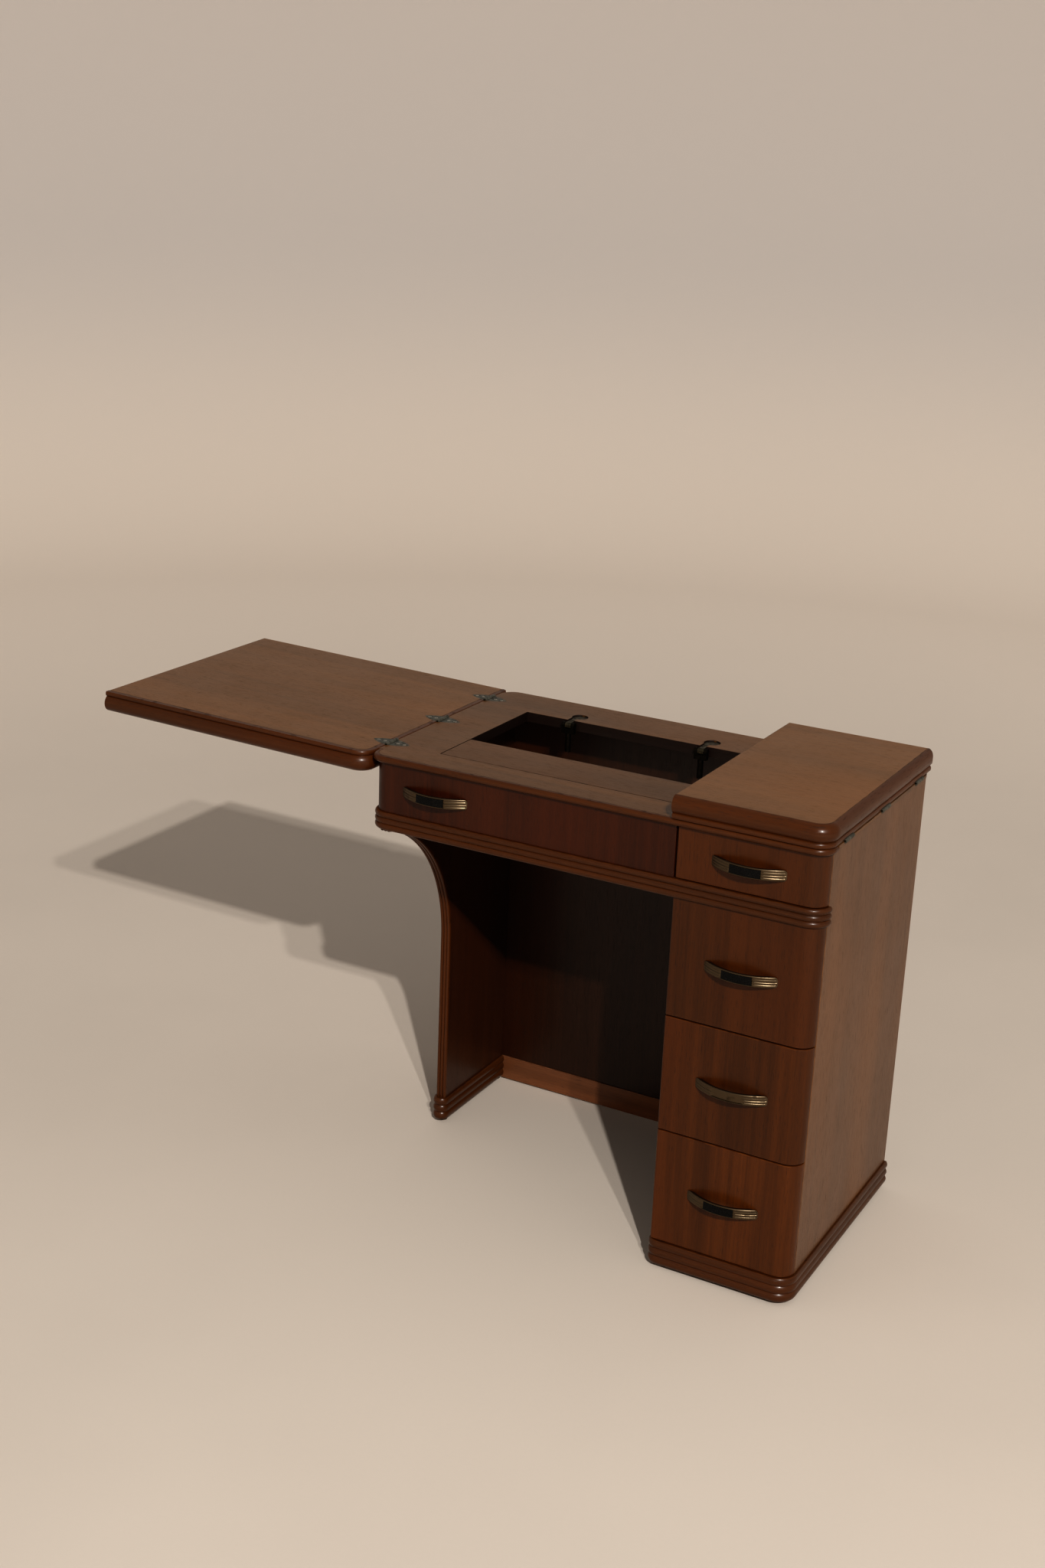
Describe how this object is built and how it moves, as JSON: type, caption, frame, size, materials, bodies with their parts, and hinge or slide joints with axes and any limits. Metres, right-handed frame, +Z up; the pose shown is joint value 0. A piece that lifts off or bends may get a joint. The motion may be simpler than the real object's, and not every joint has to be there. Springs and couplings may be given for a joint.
{
  "type": "sewing table",
  "caption": "Walnut sewing table: a drawer pedestal, a curved end leg, reeded mouldings and a folding two-leaf top over a sewing machine cut-out with a flap and pin hinges.",
  "frame": {"origin": "on the floor, under the middle of the whole outline with the left leaf open", "axes": "+X to the right along the front, +Y from the drawer fronts to the back, +Z up"},
  "size_m": [1.2899, 0.4593, 0.775],
  "materials": {
    "walnut_veneer": "satin lacquered walnut veneer",
    "stained_moulding": "stained and lacquered solid hardwood",
    "inside_timber": "bare hardwood and plywood",
    "pull_metal": "dulled satin brass",
    "black_inlay": "gloss black",
    "hinge_steel": "tarnished plate steel",
    "plated_screws": "worn plating",
    "bright_steel": "turned steel"
  },
  "bodies": {
    "cabinet": {"main_top": "walnut_veneer", "false_front": "walnut_veneer", "left_end_panel": "walnut_veneer", "right_side_panel": "walnut_veneer", "knee_back_panel": "walnut_veneer", "knee_back_rail": "walnut_veneer", "front_rail": "walnut_veneer", "top_edge_bead": "stained_moulding", "band_moulding": "stained_moulding", "pedestal_base_moulding": "stained_moulding", "leg_base_moulding": "stained_moulding", "end_panel_reeding": "stained_moulding", "pedestal_left_side": "inside_timber", "pedestal_back": "inside_timber", "pedestal_bottom": "inside_timber", "drawer_rails": "inside_timber", "drawer_runners": "inside_timber", "glue_blocks": "inside_timber", "flap_ledges": "inside_timber", "false_front_pull": "pull_metal", "false_front_pull_inlay": "black_inlay", "left_hinge_plates": "hinge_steel", "right_hinge_plates": "hinge_steel", "machine_hinge_brackets": "hinge_steel", "top_hinge_screws": "plated_screws", "floor_glides": "plated_screws", "hinge_pins": "bright_steel"},
    "left_leaf": {"left_leaf_panel": "walnut_veneer", "left_leaf_roll": "stained_moulding", "left_leaf_hinge_plates": "hinge_steel", "left_leaf_hinge_screws": "plated_screws"},
    "right_leaf": {"right_leaf_panel": "walnut_veneer", "right_leaf_roll": "stained_moulding", "right_leaf_hinge_plates": "hinge_steel", "right_leaf_hinge_screws": "plated_screws"},
    "flap": {"front_flap": "walnut_veneer", "flap_pivot_pins": "bright_steel"},
    "machine_finger_left": {"machine_hinge_finger_left": "bright_steel"},
    "machine_finger_right": {"machine_hinge_finger_right": "bright_steel"},
    "drawer_1": {"drawer_1_front": "walnut_veneer", "drawer_1_box": "inside_timber", "drawer_1_bottom": "inside_timber", "drawer_1_pull": "pull_metal", "drawer_1_pull_inlay": "black_inlay"},
    "drawer_2": {"drawer_2_front": "walnut_veneer", "drawer_2_box": "inside_timber", "drawer_2_bottom": "inside_timber", "drawer_2_pull": "pull_metal", "drawer_2_pull_inlay": "black_inlay"},
    "drawer_3": {"drawer_3_front": "walnut_veneer", "drawer_3_box": "inside_timber", "drawer_3_bottom": "inside_timber", "drawer_3_pull": "pull_metal"},
    "drawer_4": {"drawer_4_front": "walnut_veneer", "drawer_4_box": "inside_timber", "drawer_4_bottom": "inside_timber", "drawer_4_pull": "pull_metal", "drawer_4_pull_inlay": "black_inlay"}
  },
  "joints": [
    {"name": "left_leaf_fold", "type": "hinge", "parent": "cabinet", "child": "left_leaf", "pos_m": [-0.1245, 0.00592, 0.7398], "axis": [0, 1, 0], "range_deg": [0, 178.75]},
    {"name": "right_leaf_fold", "type": "hinge", "parent": "cabinet", "child": "right_leaf", "pos_m": [0.6419, 0.00592, 0.7398], "axis": [0, 1, 0], "range_deg": [0, 180]},
    {"name": "flap_lift", "type": "hinge", "parent": "cabinet", "child": "flap", "pos_m": [0.1739, -0.14443, 0.7368], "axis": [-1, 0, 0], "range_deg": [-110, 0]},
    {"name": "machine_finger_left_swing", "type": "hinge", "parent": "cabinet", "child": "machine_finger_left", "pos_m": [0.0509, 0.12297, 0.7326], "axis": [1, 0, 0], "range_deg": [-150, 0]},
    {"name": "machine_finger_right_swing", "type": "hinge", "parent": "cabinet", "child": "machine_finger_right", "pos_m": [0.2919, 0.12297, 0.7326], "axis": [1, 0, 0], "range_deg": [-150, 0]},
    {"name": "drawer_1_slide", "type": "slide", "parent": "cabinet", "child": "drawer_1", "axis": [0, -1, 0], "range_m": [0, 0.33]},
    {"name": "drawer_2_slide", "type": "slide", "parent": "cabinet", "child": "drawer_2", "axis": [0, -1, 0], "range_m": [0, 0.33]},
    {"name": "drawer_3_slide", "type": "slide", "parent": "cabinet", "child": "drawer_3", "axis": [0, -1, 0], "range_m": [0, 0.33]},
    {"name": "drawer_4_slide", "type": "slide", "parent": "cabinet", "child": "drawer_4", "axis": [0, -1, 0], "range_m": [0, 0.33]}
  ]
}
